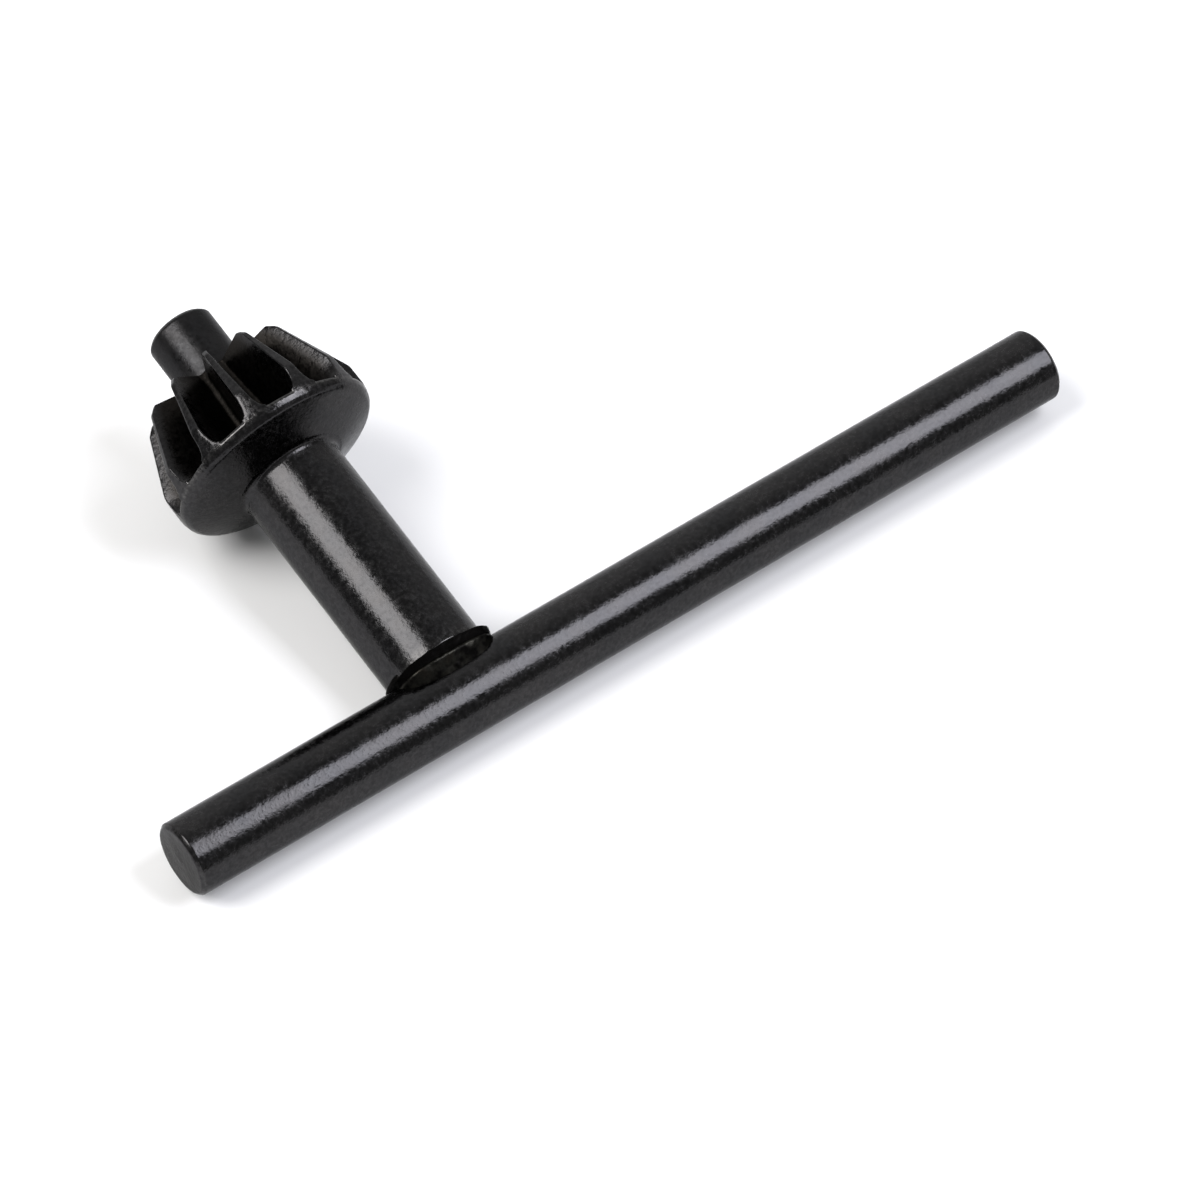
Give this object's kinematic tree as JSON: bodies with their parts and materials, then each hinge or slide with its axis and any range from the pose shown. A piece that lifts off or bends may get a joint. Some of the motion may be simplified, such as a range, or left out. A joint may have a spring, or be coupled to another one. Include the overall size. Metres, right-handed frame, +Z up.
{
  "type": "drill chuck key",
  "caption": "T-handled key with a pilot pin and a bevel pinion for tightening a geared drill chuck.",
  "frame": {"origin": "on the bench, under the middle of the key's box, with the key lying as it rests", "axes": "+X along the handle towards its long arm, +Y along the bench from the handle towards the pilot, +Z up from the bench"},
  "size_m": [0.0876, 0.0438, 0.0187],
  "materials": {
    "black_oxide_key": "black oxide on turned and cut steel, satin, worn bright on the rim and tooth edges",
    "black_oxide_handle": "black oxide on drawn bar, satin with a fine granular sheen",
    "weld_scale": "dark brown-black weld scale, matt and rough"
  },
  "bodies": {
    "root": {"key_body": "black_oxide_key", "cross_handle": "black_oxide_handle", "weld_collar": "weld_scale"}
  },
  "joints": []
}
